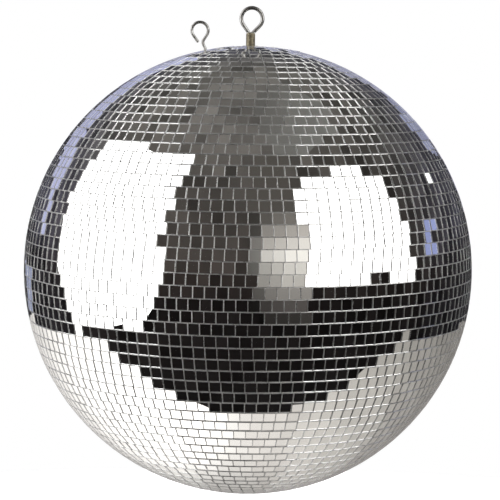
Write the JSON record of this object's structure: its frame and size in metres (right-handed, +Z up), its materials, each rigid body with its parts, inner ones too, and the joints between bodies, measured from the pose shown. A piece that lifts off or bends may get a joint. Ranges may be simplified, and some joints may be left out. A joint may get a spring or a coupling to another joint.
{
  "type": "mirror ball",
  "caption": "Hollow plastic ball faced with rows of small flat mirror tiles, hung from a swivelling wire eye, with a second open wire hook for a safety cable.",
  "frame": {"origin": "on the axis that the ball turns about, at the height of the inside crown of the hanging eye, where the hook that carries it bears", "axes": "+Z up along the turning axis, from the ball's bottom pole to the hanging eye; the loops of both eyes lie in the XZ plane, and -X points to the safety hook"},
  "size_m": [0.4, 0.4, 0.4347],
  "materials": {
    "mirror_glass": "polished silvered glass, cut and slightly bright edges",
    "chrome_wire": "bright plated wire, slightly dulled",
    "aged_brass": "tarnished, mottled brown and grey",
    "zinc_steel": "zinc plated",
    "core_plastic": "matt moulded, smeared with adhesive"
  },
  "bodies": {
    "hanger": {"hanging_eye": "chrome_wire", "eye_ferrule": "aged_brass", "thrust_washer": "zinc_steel", "ferrule_nut": "zinc_steel", "ferrule_pin": "zinc_steel"},
    "ball": {"swivel_bush": "aged_brass", "polar_washer": "zinc_steel", "upper_shell": "core_plastic", "lower_shell": "core_plastic", "equator_band": "core_plastic", "load_plate": "zinc_steel", "plate_screws": "zinc_steel", "plate_washers": "zinc_steel", "plate_nuts": "zinc_steel", "safety_hook": "chrome_wire", "hook_boss": "zinc_steel", "hook_washer": "zinc_steel", "hook_lock_nut": "zinc_steel", "bottom_mirror": "mirror_glass", "mirror_band_01": "mirror_glass", "mirror_band_02": "mirror_glass", "mirror_band_03": "mirror_glass", "mirror_band_04": "mirror_glass", "mirror_band_05": "mirror_glass", "mirror_band_06": "mirror_glass", "mirror_band_07": "mirror_glass", "mirror_band_08": "mirror_glass", "mirror_band_09": "mirror_glass", "mirror_band_10": "mirror_glass", "mirror_band_11": "mirror_glass", "mirror_band_12": "mirror_glass", "mirror_band_13": "mirror_glass", "mirror_band_14": "mirror_glass", "mirror_band_15": "mirror_glass", "mirror_band_16": "mirror_glass", "mirror_band_17": "mirror_glass", "mirror_band_18": "mirror_glass", "mirror_band_19": "mirror_glass", "mirror_band_20": "mirror_glass"}
  },
  "joints": [
    {"name": "ball_spin", "type": "hinge", "parent": "hanger", "child": "ball", "pos_m": [0, 0, -0.0318], "axis": [0, 0, 1], "continuous": true}
  ]
}
